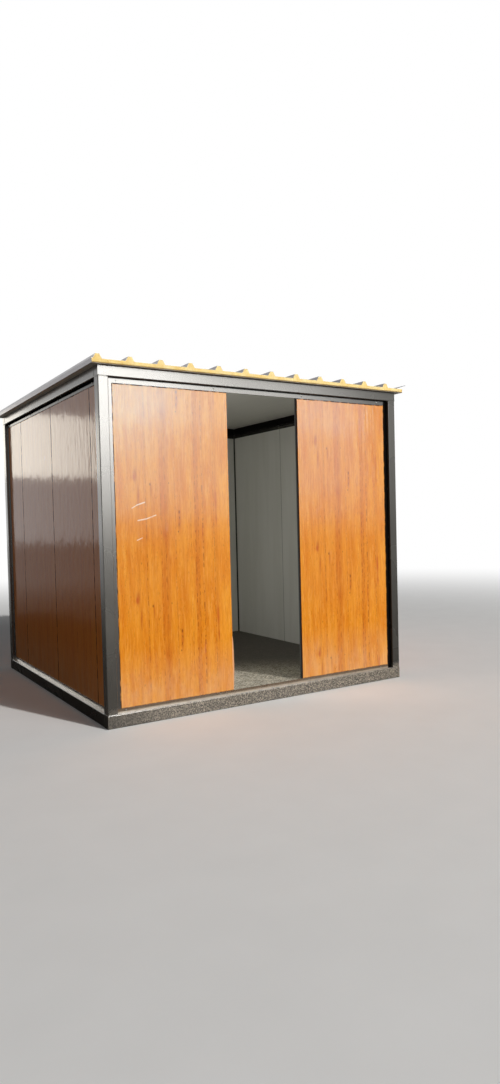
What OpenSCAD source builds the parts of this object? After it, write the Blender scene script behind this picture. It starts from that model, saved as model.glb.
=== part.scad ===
// Portable site cabin with an open doorway: a welded frame of box section, sandwich wall
// panels standing in borders of steel angle, a ribbed sandwich roof and a boarded floor.
// Millimetres. X runs to the right along the front, Y runs to the back, Z runs up.
// The origin lies on the ground, under the middle of the whole cabin with its roof.

/* [Frame] */
// Width of the steel frame, along the front
frame_w = 2880; // [2560:10:3400]
// Depth of the steel frame, from front to back
frame_d = 2880; // [2560:10:3400]
// Height of the steel frame, from the ground to the top of the top beams
frame_h = 2663; // [2300:1:3000]
// Side of the square posts, and depth of the beams
post_side = 80; // [78:1:100]
// Height of the bottom beams
bottom_beam_h = 100; // [90:1:140]
// Height of the top beams
top_beam_h = 80; // [60:1:120]
// Outer corner radius of the box section
tube_r = 6; // [2:1:10]

/* [Angle borders] */
// Leg of the steel angle around each wall bay
angle_leg = 33; // [25:1:45]
// Hanging leg of the angle at the head of each wall bay
head_leg = 40; // [30:1:50]
// Thickness of the steel angle
angle_t = 3; // [2:0.5:4]
// Depth of the angle's outer face behind the frame's face
angle_setback = 29; // [8:1:32]

/* [Wall panels] */
// Thickness of a wall panel
panel_t = 40; // [30:1:42]
// Cover width of a whole wall panel
panel_w = 1000; // [850:10:1120]
// Gap above a wall panel, under the head angle
panel_top_gap = 5; // [2:1:15]
// Gap between the last wall panel and its upright angle
panel_end_gap = 1; // [0.5:0.5:5]
// Open line between two wall panels
joint_gap = 2; // [1:0.5:4]
// Reach of a tongue past the panel's own edge
tongue_l = 8; // [4:1:12]
// Thickness of a tongue
tongue_t = 10; // [6:1:14]
// Clearance around a tongue in its groove
tongue_clear = 1; // [0.5:0.5:2]
// Width of the cut strip at the front end of the left wall
left_front_strip = 200; // [120:1:350]

/* [Doorway] */
// Distance from the frame's left side to the left jamb
door_left = 1088; // [900:1:1200]
// Clear width between the jambs
door_w = 698; // [600:1:900]
// Gap between the right front panel and the upright angle's leg on the post
door_panel_gap = 11; // [1:1:24]

/* [Roof] */
// Overhang of the roof at the left
roof_over_left = 55; // [20:1:120]
// Overhang of the roof's foam at the right
roof_over_right = 65; // [20:1:120]
// Overhang of the roof at the front
roof_over_front = 35; // [10:1:100]
// Overhang of the roof at the back
roof_over_back = 35; // [10:1:100]
// Thickness of the foam between the ribs
roof_core_t = 32; // [25:1:60]
// Thickness of the steel skins above and below the foam
sheet_t = 1; // [0.6:0.1:2]
// Height of a rib above the foam
rib_h = 35; // [20:1:45]
// Width of a rib at its foot
rib_foot_w = 70; // [50:1:90]
// Width of a rib at its top
rib_top_w = 28; // [15:1:40]
// Flat strip between a roof panel's left edge and its first rib
rib_edge_flat = 9; // [4:1:20]
// Gap between two roof panels' foam
roof_joint_gap = 1; // [0.5:0.5:3]
// Gap under the wing where one sheet laps over the next
lap_gap = 0.3; // [0.2:0.1:1]
// Distance from the foam's right edge back to where the last wing lifts off
wing_start = 65; // [30:1:90]
// Reach of the last wing past the foam
wing_reach = 42; // [20:1:80]
// Rise of the last wing at its hem
wing_rise = 36; // [10:1:60]
// Radius of the rolled hem on the last wing
hem_r = 2.5; // [1.5:0.5:5]

/* [Floor] */
// Thickness of the floor boards
floor_board_t = 21; // [12:1:30]
// Gap around the floor boards and between them
floor_gap = 2; // [1:0.5:6]
// Width of a floor joist
joist_w = 40; // [30:1:80]
// Height of a floor joist
joist_h = 80; // [50:1:85]

/* [Hidden] */
$fn = 48;

frame_colour = [0.25, 0.26, 0.27];
oak_colour = [0.85, 0.52, 0.25];
foam_colour = [0.95, 0.80, 0.42];
sheet_colour = [0.36, 0.38, 0.40];
liner_colour = [0.86, 0.86, 0.83];
floor_colour = [0.36, 0.33, 0.28];

// Heights
post_h = frame_h - bottom_beam_h - top_beam_h;
head_z = frame_h - top_beam_h;
panel_z = bottom_beam_h + angle_t;
panel_h = head_z - angle_t - panel_top_gap - panel_z;

// Depths, measured inwards from the frame's face
panel_face = angle_setback + angle_t;
inner_face = panel_face + panel_t;
floor_edge = inner_face + floor_gap;

// Ends of a wall bay, measured along a wall from the frame's left end
bay_start = post_side + angle_t + panel_end_gap;
function bay_end(wall_l) = wall_l - bay_start;

// Roof panels
roof_w = roof_over_left + frame_w + roof_over_right;
roof_panel_w = roof_w / 3;
roof_l = roof_over_front + frame_d + roof_over_back;
ribs_per_panel = 4;
rib_pitch = roof_panel_w / ribs_per_panel;
rib_inset = rib_edge_flat + rib_foot_w / 2;
rib_slope = atan2(rib_h, (rib_foot_w - rib_top_w) / 2);
core_z = frame_h + sheet_t;
core_top_z = core_z + roof_core_t;

// Middle of the whole cabin, measured from the frame's front left corner
low_x = -roof_over_left - sheet_t;
high_x = frame_w + roof_over_right + wing_reach + hem_r;
middle_x = (low_x + high_x) / 2;
middle_y = (frame_d + roof_over_back - roof_over_front) / 2;

// Floor
joist_count = 5;
board_count = 3;
floor_w = frame_w - 2 * floor_edge;
floor_d = frame_d - 2 * floor_edge;
board_w = (floor_w - (board_count - 1) * floor_gap) / board_count;

// Reach of a cut past the face it opens, and of a part into the one it is joined to
over = 1;

// Moves a piece from the frame's front left corner to the cabin's own origin
module placed() {
    translate([-middle_x, -middle_y, 0]) children();
}

// Box section across its run, with rounded corners
module tube_section(a, b) {
    union() {
        translate([tube_r, 0]) square([a - 2 * tube_r, b]);
        translate([0, tube_r]) square([a, b - 2 * tube_r]);
        for (x = [tube_r, a - tube_r], y = [tube_r, b - tube_r])
            translate([x, y]) circle(r = tube_r);
    }
}

// Post at a corner of the frame: side 0 is left or front, side 1 is right or back
module post(side_x, side_y) {
    color(frame_colour)
        translate([
            side_x * (frame_w - post_side),
            side_y * (frame_d - post_side),
            bottom_beam_h
        ])
            linear_extrude(height = post_h) tube_section(post_side, post_side);
}

// Beam along the front (side 0) or the back (side 1), over the whole width
module long_beam(side, z, h) {
    color(frame_colour)
        translate([0, side * (frame_d - post_side), z])
            rotate([90, 0, 90])
                linear_extrude(height = frame_w) tube_section(post_side, h);
}

// Beam along the left (side 0) or the right (side 1), between the long beams
module cross_beam(side, z, h) {
    color(frame_colour)
        translate([side * (frame_w - post_side), frame_d - post_side, z])
            rotate([90, 0, 0])
                linear_extrude(height = frame_d - 2 * post_side) tube_section(post_side, h);
}

// Puts a piece that is drawn for the front wall on one of the four walls.
// A wall is drawn as seen from outside: X to the right along it, Y inwards.
module on_wall(wall) {
    if (wall == "front")
        children();
    if (wall == "right")
        translate([frame_w, 0, 0]) rotate([0, 0, 90]) children();
    if (wall == "back")
        translate([frame_w, frame_d, 0]) rotate([0, 0, 180]) children();
    if (wall == "left")
        translate([0, frame_d, 0]) rotate([0, 0, -90]) children();
}

// Sill angle and head angle of a wall bay
module rails(wall_l) {
    run = wall_l - 2 * post_side;
    color(frame_colour) {
        translate([post_side, angle_setback, bottom_beam_h]) {
            cube([run, angle_leg, angle_t]);
            cube([run, angle_t, angle_leg]);
        }
        translate([post_side, angle_setback, head_z]) {
            translate([0, 0, -angle_t]) cube([run, angle_leg, angle_t]);
            translate([0, 0, -head_leg]) cube([run, angle_t, head_leg]);
        }
    }
}

// The two upright angles of a wall bay, between its sill angle and head angle
module stiles(wall_l) {
    color(frame_colour) {
        stile();
        translate([wall_l, 0, 0]) mirror([1, 0, 0]) stile();
    }
}

// One upright angle: a leg on the post and a leg in front of the panel
module stile() {
    translate([post_side, angle_setback, 0]) {
        translate([0, 0, bottom_beam_h + angle_t])
            cube([angle_t, angle_leg, post_h - 2 * angle_t]);
        translate([0, 0, bottom_beam_h + angle_leg])
            cube([angle_leg, angle_t, post_h - angle_leg - head_leg]);
    }
}

// Wall panel between two points of a wall, with a groove at its left edge and a
// tongue at its right edge where they are asked for
module wall_panel(start, end, groove, tongue) {
    slot_t = tongue_t + 2 * tongue_clear;
    slot_l = tongue_l - joint_gap + tongue_clear;
    w = end - start;
    color(oak_colour)
        translate([start, panel_face, panel_z])
            linear_extrude(height = panel_h)
                union() {
                    difference() {
                        square([w, panel_t]);
                        if (groove)
                            translate([-over, (panel_t - slot_t) / 2]) square([slot_l + over, slot_t]);
                    }
                    if (tongue)
                        translate([w - over, (panel_t - tongue_t) / 2]) square([tongue_l + over, tongue_t]);
                }
}

// Left front panel, from the left post to the doorway
module front_panel_left() {
    wall_panel(bay_start, door_left, true, true);
}

// Right front panel, from the doorway to the upright angle at the right post
module front_panel_right() {
    wall_panel(door_left + door_w, frame_w - post_side - angle_t - door_panel_gap, true, false);
}

// Joints of the left wall, from its back end to its front end
left_joints = [
    bay_start,
    bay_end(frame_d) - left_front_strip - 2 * panel_w,
    bay_end(frame_d) - left_front_strip - panel_w,
    bay_end(frame_d) - left_front_strip,
    bay_end(frame_d)
];

// Joints of a wall with a cut strip at its left end and two whole panels after it
function strip_first_joints(wall_l) = [
    bay_start,
    bay_end(wall_l) - 2 * panel_w,
    bay_end(wall_l) - panel_w,
    bay_end(wall_l)
];

// Panel number i of a wall whose joints are given, counted from the wall's left end
module panel_in_row(joints, i) {
    last = i == len(joints) - 2;
    end = last ? joints[i + 1] : joints[i + 1] - joint_gap;
    wall_panel(joints[i], end, i > 0, !last);
}

// Outline of one rib from left to right, raised by a sheet of the given thickness
function rib_points(x, lift) =
    let (grow = lift * tan(rib_slope / 2))
    [
        [x - rib_foot_w / 2 - grow, lift],
        [x - rib_top_w / 2 - grow, rib_h + lift],
        [x + rib_top_w / 2 + grow, rib_h + lift],
        [x + rib_foot_w / 2 + grow, lift]
    ];

// Top line of a roof panel over its own ribs
function own_line(lift) = [
    for (i = [0 : ribs_per_panel - 1], p = rib_points(rib_inset + i * rib_pitch, lift)) p
];

// Line of the wing that laps over the next panel's first rib, down to its far top corner
function lap_line(lift) =
    let (p = rib_points(roof_panel_w + rib_inset, lift))
    [[roof_panel_w, lift], p[0], p[1], p[2]];

// Last wing, which has no rib to lie on and has lifted
function free_line(lift) = [
    [roof_panel_w - wing_start, lift],
    [roof_panel_w + wing_reach, wing_rise + lift]
];

function reversed(list) = [for (i = [len(list) - 1 : -1 : 0]) list[i]];

// Stands a roof outline up and runs it from the front edge to the back edge
module roof_run(i, z) {
    translate([i * roof_panel_w - roof_over_left, frame_d + roof_over_back, z])
        rotate([90, 0, 0])
            linear_extrude(height = roof_l) children();
}

// Foam of roof panel i with its four ribs
module roof_core(i) {
    left = i == 0 ? 0 : roof_joint_gap / 2;
    right = i == 2 ? roof_panel_w : roof_panel_w - roof_joint_gap / 2;
    outline = concat([[left, 0]], own_line(0), [[right, 0]]);
    color(foam_colour)
        roof_run(i, core_top_z)
            polygon(concat(outline, [[right, -roof_core_t], [left, -roof_core_t]]));
}

// Top sheet of roof panel i, with the wing past its right edge
module roof_sheet(i) {
    lap = sheet_t + lap_gap;
    wing_low = i == 2 ? free_line(0) : lap_line(lap);
    wing_high = i == 2 ? free_line(sheet_t) : lap_line(lap + sheet_t);
    left = i == 0 ? -sheet_t : roof_joint_gap / 2;
    low = concat([[left, 0]], own_line(0), wing_low);
    high = concat([[left, sheet_t]], own_line(sheet_t), wing_high);
    color(sheet_colour)
        roof_run(i, core_top_z)
            union() {
                polygon(concat(low, reversed(high)));
                if (i == 0)
                    translate([-sheet_t, -roof_core_t]) square([sheet_t, roof_core_t + sheet_t]);
                if (i == 2)
                    translate([roof_panel_w + wing_reach, wing_rise + sheet_t / 2]) circle(r = hem_r);
            }
}

// Pale flat skin under roof panel i, which is the ceiling
module roof_liner(i) {
    left = i == 0 ? 0 : roof_joint_gap / 2;
    right = i == 2 ? roof_panel_w : roof_panel_w - roof_joint_gap / 2;
    color(liner_colour)
        roof_run(i, frame_h)
            translate([left, 0]) square([right - left, sheet_t]);
}

// Floor board i, cut around the corner posts, with a nose in the doorway
module floor_board(i) {
    start = floor_edge + i * (board_w + floor_gap);
    nose_start = max(start, door_left + floor_gap);
    nose_end = min(start + board_w, door_left + door_w - floor_gap);
    nose_front = panel_face + floor_gap;
    notch = post_side + 2 * floor_gap;
    color(floor_colour)
        translate([0, 0, bottom_beam_h])
            difference() {
                union() {
                    translate([start, floor_edge, 0]) cube([board_w, floor_d, floor_board_t]);
                    if (nose_end > nose_start)
                        translate([nose_start, nose_front, angle_t])
                            cube([
                                nose_end - nose_start,
                                floor_edge - nose_front + over,
                                floor_board_t - angle_t
                            ]);
                }
                for (x = [0, frame_w - post_side], y = [0, frame_d - post_side])
                    translate([x - floor_gap, y - floor_gap, -over])
                        cube([notch, notch, floor_board_t + 2 * over]);
            }
}

// Joists under the floor, from the front beam to the back beam
module floor_joists() {
    spacing = floor_w / (joist_count + 1);
    color(frame_colour)
        for (i = [1 : joist_count])
            translate([
                floor_edge + i * spacing - joist_w / 2,
                post_side,
                bottom_beam_h - joist_h
            ])
                cube([joist_w, frame_d - 2 * post_side, joist_h]);
}

placed() post(0, 0);  // post_front_left
placed() post(1, 0);  // post_front_right
placed() post(0, 1);  // post_back_left
placed() post(1, 1);  // post_back_right
placed() long_beam(0, 0, bottom_beam_h);  // beam_bottom_front
placed() long_beam(1, 0, bottom_beam_h);  // beam_bottom_back
placed() cross_beam(0, 0, bottom_beam_h);  // beam_bottom_left
placed() cross_beam(1, 0, bottom_beam_h);  // beam_bottom_right
placed() long_beam(0, head_z, top_beam_h);  // beam_top_front
placed() long_beam(1, head_z, top_beam_h);  // beam_top_back
placed() cross_beam(0, head_z, top_beam_h);  // beam_top_left
placed() cross_beam(1, head_z, top_beam_h);  // beam_top_right
placed() on_wall("front") rails(frame_w);  // rails_front
placed() on_wall("back") rails(frame_w);  // rails_back
placed() on_wall("left") rails(frame_d);  // rails_left
placed() on_wall("right") rails(frame_d);  // rails_right
placed() on_wall("front") stiles(frame_w);  // stiles_front
placed() on_wall("back") stiles(frame_w);  // stiles_back
placed() on_wall("left") stiles(frame_d);  // stiles_left
placed() on_wall("right") stiles(frame_d);  // stiles_right
placed() on_wall("front") front_panel_left();
placed() on_wall("front") front_panel_right();
placed() on_wall("left") panel_in_row(left_joints, 3);  // left_panel_1
placed() on_wall("left") panel_in_row(left_joints, 2);  // left_panel_2
placed() on_wall("left") panel_in_row(left_joints, 1);  // left_panel_3
placed() on_wall("left") panel_in_row(left_joints, 0);  // left_panel_4
placed() on_wall("right") panel_in_row(strip_first_joints(frame_d), 0);  // right_panel_1
placed() on_wall("right") panel_in_row(strip_first_joints(frame_d), 1);  // right_panel_2
placed() on_wall("right") panel_in_row(strip_first_joints(frame_d), 2);  // right_panel_3
placed() on_wall("back") panel_in_row(strip_first_joints(frame_w), 0);  // back_panel_1
placed() on_wall("back") panel_in_row(strip_first_joints(frame_w), 1);  // back_panel_2
placed() on_wall("back") panel_in_row(strip_first_joints(frame_w), 2);  // back_panel_3
placed() roof_core(0);  // roof_core_1
placed() roof_core(1);  // roof_core_2
placed() roof_core(2);  // roof_core_3
placed() roof_sheet(0);  // roof_sheet_1
placed() roof_sheet(1);  // roof_sheet_2
placed() roof_sheet(2);  // roof_sheet_3
placed() roof_liner(0);  // roof_liner_1
placed() roof_liner(1);  // roof_liner_2
placed() roof_liner(2);  // roof_liner_3
placed() floor_board(0);  // floor_board_1
placed() floor_board(1);  // floor_board_2
placed() floor_board(2);  // floor_board_3
placed() floor_joists();
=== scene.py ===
import math

import bpy
import numpy
from mathutils import Matrix, Vector, noise


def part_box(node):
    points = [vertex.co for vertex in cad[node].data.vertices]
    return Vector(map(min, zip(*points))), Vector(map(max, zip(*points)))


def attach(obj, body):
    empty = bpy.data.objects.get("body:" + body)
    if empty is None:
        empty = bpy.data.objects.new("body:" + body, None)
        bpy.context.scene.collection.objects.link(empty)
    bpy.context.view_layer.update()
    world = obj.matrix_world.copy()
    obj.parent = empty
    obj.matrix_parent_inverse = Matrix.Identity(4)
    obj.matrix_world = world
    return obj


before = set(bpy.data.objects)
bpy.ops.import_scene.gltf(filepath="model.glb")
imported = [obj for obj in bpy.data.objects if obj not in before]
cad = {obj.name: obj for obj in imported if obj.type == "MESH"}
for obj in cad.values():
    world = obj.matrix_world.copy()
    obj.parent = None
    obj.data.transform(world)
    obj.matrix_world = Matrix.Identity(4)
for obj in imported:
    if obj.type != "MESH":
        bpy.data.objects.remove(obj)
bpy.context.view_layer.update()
MM = 0.001
UP = Vector((0, 0, 1))

# Sizes read from the construction
FRAME_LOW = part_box("beam_bottom_front")[0]
FRAME_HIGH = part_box("beam_top_back")[1]
BEAM_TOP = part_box("beam_bottom_front")[1].z
HEAD_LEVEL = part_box("beam_top_front")[0].z
POST_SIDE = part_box("post_front_left")[1].x - FRAME_LOW.x
FOAM_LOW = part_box("roof_core_1")[0].z
ROOM_MIDDLE = (FRAME_LOW + FRAME_HIGH) / 2
ROOM_HALF = (FRAME_HIGH.x - FRAME_LOW.x) / 2 - POST_SIDE
RAIL_LEVELS = [vertex.co.z for vertex in cad["rails_front"].data.vertices]
SILL_TOP = max(z for z in RAIL_LEVELS if z < 1)
HEAD_EDGE = min(z for z in RAIL_LEVELS if z > 1)
STILE_PLACES = [vertex.co.x for vertex in cad["stiles_front"].data.vertices]
LEFT_STILE = max(x for x in STILE_PLACES if x < 0)
RIGHT_STILE = min(x for x in STILE_PLACES if x > 0)

# Camera, where the photograph was taken from
PHOTO_HEIGHT = 1084
FOCAL_PIXELS = 722.3
SENSOR_MM = 36.0
CAMERA_PLACE = Vector((-3.3256, -6.4590, 1.5008))
CAMERA_YAW = math.radians(31.850)
CAMERA_PITCH = math.radians(-1.635)
CAMERA_ROLL = math.radians(-1.422)
CAMERA_FAR = 200


def make_camera():
    forward = Vector((math.sin(CAMERA_YAW) * math.cos(CAMERA_PITCH),
                      math.cos(CAMERA_YAW) * math.cos(CAMERA_PITCH),
                      math.sin(CAMERA_PITCH)))
    level_right = Vector((math.cos(CAMERA_YAW), -math.sin(CAMERA_YAW), 0))
    level_up = level_right.cross(forward)
    right = level_right * math.cos(CAMERA_ROLL) + level_up * math.sin(CAMERA_ROLL)
    up = level_up * math.cos(CAMERA_ROLL) - level_right * math.sin(CAMERA_ROLL)
    data = bpy.data.cameras.new("photo_camera")
    data.sensor_width = SENSOR_MM
    data.lens = FOCAL_PIXELS * SENSOR_MM / PHOTO_HEIGHT
    data.clip_end = CAMERA_FAR
    camera = bpy.data.objects.new("photo_camera", data)
    turn = Matrix((right, up, -forward)).transposed()
    camera.matrix_world = Matrix.Translation(CAMERA_PLACE) @ turn.to_4x4()
    bpy.context.scene.collection.objects.link(camera)
    bpy.context.scene.camera = camera


def srgb(red, green, blue):
    """A screen colour, with each channel from 0 to 255, as the linear value that nodes take."""
    channels = [c / 255 for c in (red, green, blue)]
    return [c / 12.92 if c < 0.04045 else ((c + 0.055) / 1.055) ** 2.4 for c in channels] + [1.0]


WHITE = srgb(255, 255, 255)


class Graph:
    """Adds nodes to a tree with short calls. An input is a number, a vector or another node's output."""

    def __init__(self, tree):
        self.tree = tree
        tree.nodes.clear()

    def add(self, kind, inputs, **settings):
        made = self.tree.nodes.new(kind)
        for name, value in settings.items():
            setattr(made, name, value)
        for key, value in inputs.items():
            if isinstance(value, bpy.types.NodeSocket):
                self.tree.links.new(value, made.inputs[key])
            else:
                made.inputs[key].default_value = value
        return made

    def math(self, operation, *values, clamp=False):
        inputs = dict(enumerate(values))
        return self.add("ShaderNodeMath", inputs, operation=operation, use_clamp=clamp).outputs[0]

    def times(self, first, *others):
        for other in others:
            first = self.math("MULTIPLY", first, other)
        return first

    def minus(self, first, second):
        return self.math("SUBTRACT", first, second)

    def vector(self, x, y, z):
        return self.add("ShaderNodeCombineXYZ", {0: x, 1: y, 2: z}).outputs[0]

    def vector_math(self, operation, first, second=(0, 0, 0), output="Vector"):
        made = self.add("ShaderNodeVectorMath", {0: first, 1: second}, operation=operation)
        return made.outputs[output]

    def position(self):
        """The place in the row frame, and its x, y and z."""
        place = self.add("ShaderNodeTexCoord", {}).outputs["Object"]
        parts = self.add("ShaderNodeSeparateXYZ", {0: place}).outputs
        return place, parts[0], parts[1], parts[2]

    def facing(self):
        """How much the surface faces right, back and up, each from -1 to 1."""
        normal = self.add("ShaderNodeNewGeometry", {}).outputs["Normal"]
        return self.add("ShaderNodeSeparateXYZ", {0: normal}).outputs

    def noise(self, place, rate, detail, roughness=0.5):
        """Soft noise. The rate says how fast it changes: one number, or one each for x, y and z."""
        if isinstance(rate, tuple):
            place = self.vector_math("MULTIPLY", place, rate)
            rate = 1.0
        inputs = {"Vector": place, "Scale": rate, "Detail": detail, "Roughness": roughness}
        return self.add("ShaderNodeTexNoise", inputs).outputs[0]

    def cells(self, place, rate):
        """The distance from the middle of the nearest of many small cells."""
        return self.add("ShaderNodeTexVoronoi", {"Vector": place, "Scale": rate}).outputs["Distance"]

    def smooth(self, value, low, high, start=0.0, end=1.0):
        """start where the value is at low or less, end where it is at high or more, and smooth between."""
        inputs = {"Value": value, "From Min": low, "From Max": high, "To Min": start, "To Max": end}
        return self.add("ShaderNodeMapRange", inputs, interpolation_type="SMOOTHSTEP").outputs[0]

    def mix(self, factor, first, second):
        """From the first colour to the second. A colour may be three screen channels, from 0 to 255."""
        first, second = [srgb(*c) if isinstance(c, tuple) else c for c in (first, second)]
        inputs = {0: factor, 6: first, 7: second}
        return self.add("ShaderNodeMix", inputs, data_type="RGBA", clamp_factor=True).outputs[2]

    def choose(self, factor, first, second):
        """From the first number to the second."""
        return self.add("ShaderNodeMix", {0: factor, 2: first, 3: second}).outputs[0]

    def bump(self, height, strength, distance, under=None):
        inputs = {"Height": height, "Strength": strength, "Distance": distance}
        if under is not None:
            inputs["Normal"] = under
        return self.add("ShaderNodeBump", inputs).outputs[0]

    def surface(self, **inputs):
        """The material's shader, with an underscore in each name where the socket's has a space."""
        named = {key.replace("_", " "): value for key, value in inputs.items()}
        shader = self.add("ShaderNodeBsdfPrincipled", named)
        self.add("ShaderNodeOutputMaterial", {0: shader.outputs[0]})


def new_material(name):
    material = bpy.data.materials.new(name)
    material.use_nodes = True
    return material, Graph(material.node_tree)


# Studio: a low sun, softboxes before the front, whose reflection brightens to the top left, and one
# behind the cabin, whose reflection lies high on the left wall
SUN_AZIMUTH = math.radians(21)
SUN_ELEVATION = math.radians(28)
SUN_STRENGTH = 2.3
SUN_SOFTNESS = math.radians(2.0)
FILL_STRENGTH = 0.11
FILL_TONE = srgb(244, 248, 255)
FRONT_BANK = -14.2
BACK_BANK = 14.0
BACK_BANK_TONE = (1.0, 0.93, 0.80)
LAYER_GAP = 0.1
# Each box with its left, right, bottom and top edges and its radiance
FRONT_BOXES = [(1.4, 12.4, 1.6, 5.7, 1.15), (1.4, 12.4, 2.4, 5.7, 1.1), (1.4, 12.4, 4.2, 5.6, 2.1),
               (1.4, 7.2, 1.7, 6.6, 0.9), (1.4, 5.4, 1.9, 7.2, 0.8), (1.4, 6.7, 3.5, 7.0, 1.1),
               (1.4, 5.2, 3.3, 7.2, 1.3), (1.4, 5.9, 4.3, 7.2, 2.8), (1.0, 3.5, 1.7, 7.2, 1.6)]
BACK_BOXES = [(-7.7, -4.1, 2.95, 4.8, 3.1)]
ROOM_LAMP_POWER = 10.0
ROOM_LAMP_SIZE = (0.8, 2.0)
ROOM_LAMP_PLACE = (-1.0, -0.9, 1.4)
ROOM_LAMP_BACK = Vector((-0.9, -0.44, 0))
FLOOR_HALF = 60.0
FLOOR_LEVEL = -1 * MM
FLOOR_FADE_START = 4.5
FLOOR_FADE_END = 16.0
FLOOR_MIRRORED = 0.3
FLOOR_BOUNCE = (118, 114, 108)


def add_light(name, kind, back, place=(0, 0, 0)):
    """A light that shines away from where its back points."""
    light = bpy.data.objects.new(name, bpy.data.lights.new(name, kind))
    light.location = place
    light.rotation_euler = back.to_track_quat("Z", "Y").to_euler()
    bpy.context.scene.collection.objects.link(light)
    return light


def add_panel_light(name, back, place, width, height):
    light = add_light(name, "AREA", back, place)
    light.data.shape = "RECTANGLE"
    light.data.size = width
    light.data.size_y = height
    return light


def make_sun():
    back = Vector((math.sin(SUN_AZIMUTH) * math.cos(SUN_ELEVATION),
                   -math.cos(SUN_AZIMUTH) * math.cos(SUN_ELEVATION),
                   math.sin(SUN_ELEVATION)))
    sun = add_light("low_sun", "SUN", back)
    sun.data.energy = SUN_STRENGTH
    sun.data.angle = SUN_SOFTNESS


def make_softboxes():
    """The boxes stand one behind the other, so that none hides another's edge."""
    boxes = [(FRONT_BANK, box) for box in FRONT_BOXES] + [(BACK_BANK, box) for box in BACK_BOXES]
    for index, (y, (left, right, bottom, top, radiance)) in enumerate(boxes):
        back = Vector((0, math.copysign(1, y), 0))
        place = Vector(((left + right) / 2, y, (bottom + top) / 2)) + back * (LAYER_GAP * index)
        box = add_panel_light(f"softbox_{index}", back, place, right - left, top - bottom)
        box.data.energy = radiance * math.pi * box.data.size * box.data.size_y
        if y > 0:
            box.data.color = BACK_BANK_TONE


def make_room_lamp():
    """A soft lamp inside, beside the left wall, where the front wall hides it."""
    lamp = add_panel_light("room_lamp", ROOM_LAMP_BACK, ROOM_LAMP_PLACE, *ROOM_LAMP_SIZE)
    lamp.data.energy = ROOM_LAMP_POWER
    lamp.visible_camera = False
    lamp.visible_glossy = False


def make_world():
    """White where the camera or a mirror sees it, and a weak fill light elsewhere."""
    world = bpy.data.worlds.new("studio")
    world.use_nodes = True
    graph = Graph(world.node_tree)
    path = graph.add("ShaderNodeLightPath", {}).outputs
    mirrored = graph.math("MAXIMUM", path["Is Glossy Ray"], path["Is Transmission Ray"])
    seen = graph.math("MAXIMUM", path["Is Camera Ray"], mirrored)
    fill = graph.add("ShaderNodeBackground", {0: FILL_TONE, 1: FILL_STRENGTH}).outputs[0]
    white = graph.add("ShaderNodeBackground", {0: WHITE, 1: 1.0}).outputs[0]
    both = graph.add("ShaderNodeMixShader", {0: seen, 1: fill, 2: white}).outputs[0]
    graph.add("ShaderNodeOutputWorld", {0: both})
    bpy.context.scene.world = world


def make_floor():
    """A pale floor that keeps the shadow near the cabin and runs out into the white background."""
    mesh = bpy.data.meshes.new("studio_floor")
    corners = ((-1, -1), (1, -1), (1, 1), (-1, 1))
    mesh.from_pydata([(x * FLOOR_HALF, y * FLOOR_HALF, FLOOR_LEVEL) for x, y in corners], [], [(0, 1, 2, 3)])
    floor = bpy.data.objects.new("studio_floor", mesh)
    bpy.context.scene.collection.objects.link(floor)
    material, graph = new_material("studio_floor")
    place = graph.position()[0]
    flat = graph.vector_math("LENGTH", graph.vector_math("MULTIPLY", place, (1, 1, 0)), output="Value")
    path = graph.add("ShaderNodeLightPath", {}).outputs
    pale = graph.mix(graph.noise(place, 3.0, 3), (238, 237, 234), (244, 243, 240))
    colour = graph.mix(path["Is Camera Ray"], FLOOR_BOUNCE, pale)
    near = graph.add("ShaderNodeBsdfDiffuse", {0: colour}).outputs[0]
    far = graph.add("ShaderNodeEmission", {0: WHITE, 1: 1.0}).outputs[0]
    mirrored = graph.times(path["Is Glossy Ray"], FLOOR_MIRRORED)
    seen = graph.math("MAXIMUM", path["Is Camera Ray"], mirrored)
    fade = graph.times(graph.smooth(flat, FLOOR_FADE_START, FLOOR_FADE_END), seen)
    both = graph.add("ShaderNodeMixShader", {0: fade, 1: near, 2: far}).outputs[0]
    graph.add("ShaderNodeOutputMaterial", {0: both})
    mesh.materials.append(material)


# Oak print of the wall film: across the panel from its left edge, up the panel, both in metres
PRINT_REPEAT = 0.926
PRINT_RADIUS = PRINT_REPEAT / math.tau
PRINT_WANDER = 0.010
# Soft upright bands, each with its middle, its half width and its weight
STREAKS = [(0.420, 0.030, 0.62), (0.455, 0.018, 0.25), (0.700, 0.018, 0.52), (0.762, 0.010, 0.30),
           (0.268, 0.012, 0.25), (0.330, 0.020, 0.20), (0.130, 0.020, 0.18), (0.575, 0.022, 0.18),
           (0.872, 0.016, 0.35), (0.205, 0.018, 0.25)]
DASHES = [(0.690, 0.005, 0.8), (0.716, 0.004, 0.6), (0.755, 0.005, 0.9), (0.272, 0.004, 0.7),
          (0.650, 0.004, 0.4), (0.855, 0.004, 0.6), (0.515, 0.004, 0.4), (0.395, 0.005, 0.5),
          (0.432, 0.005, 0.6), (0.150, 0.004, 0.3)]
# Grain, each kind with its rates across and up, where it starts and is full, its weight and its tone
GRAIN_LINES = [(22, 2.0, 0.38, 0.68, 0.50, (220, 118, 14)), (52, 6.0, 0.46, 0.72, 0.45, (212, 108, 12)),
               (70, 5.0, 0.48, 0.74, 0.50, (248, 176, 76)), (170, 22.0, 0.48, 0.74, 0.42, (206, 106, 12)),
               (190, 18.0, 0.52, 0.74, 0.30, (248, 182, 88))]
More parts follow.
